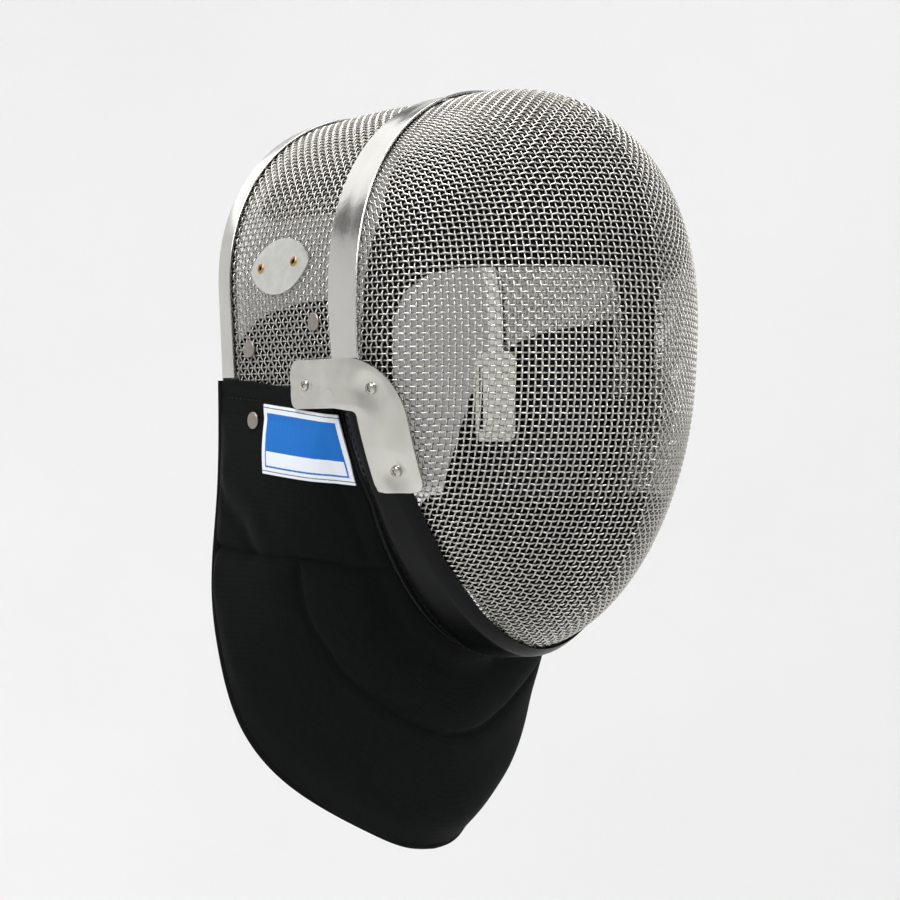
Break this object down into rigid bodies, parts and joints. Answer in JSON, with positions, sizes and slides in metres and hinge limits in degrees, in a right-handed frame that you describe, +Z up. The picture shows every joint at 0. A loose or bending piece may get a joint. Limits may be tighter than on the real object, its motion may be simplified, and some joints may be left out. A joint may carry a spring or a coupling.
{
  "type": "fencing mask with a woven steel wire bowl, sheet steel bands, cheek brackets, rubber edging and a padded bib",
  "caption": "Fencing mask with a ridged wire mesh bowl, polished steel bands and brackets, glossy black edging and a black quilted bib",
  "frame": {"origin": "middle of the crown pad's inner face, where the mask rests on the wearer's head", "axes": "+X to the wearer's left, +Y to the back of the head, +Z up"},
  "size_m": [0.21, 0.2248, 0.3861],
  "materials": {
    "steel_wire": "bright drawn stainless wire in a plain weave",
    "sheet_steel": "satin polished sheet",
    "black_rubber": "glossy coated edging",
    "black_cloth": "matt quilted cloth",
    "navy_cloth": "matt quilted lining cloth",
    "brass": "plain brass eyelet",
    "woven_label": "woven blue and white ribbon"
  },
  "bodies": {
    "root": {"face_mesh": "steel_wire", "crown_mesh": "steel_wire", "front_band": "sheet_steel", "rear_band": "sheet_steel", "cheek_bracket_left": "sheet_steel", "cheek_bracket_right": "sheet_steel", "bracket_screw_front_left": "sheet_steel", "bracket_screw_front_right": "sheet_steel", "bracket_screw_lower_left": "sheet_steel", "bracket_screw_lower_right": "sheet_steel", "bracket_screw_rear_left": "sheet_steel", "bracket_screw_rear_right": "sheet_steel", "chin_edging": "black_rubber", "bib": "black_cloth", "bib_binding": "black_cloth", "forehead_pad": "black_cloth", "crown_pad": "black_cloth", "chin_pad": "black_cloth", "side_flap_left": "navy_cloth", "side_flap_right": "navy_cloth", "strap_plate_left": "sheet_steel", "strap_plate_right": "sheet_steel", "rivet_upper_left": "sheet_steel", "rivet_upper_right": "sheet_steel", "rivet_rear_left": "sheet_steel", "rivet_rear_right": "sheet_steel", "rivet_bib_left": "sheet_steel", "rivet_bib_right": "sheet_steel", "side_badge": "sheet_steel", "badge_eyelet_front": "brass", "badge_eyelet_rear": "brass", "side_label": "woven_label"}
  },
  "joints": []
}
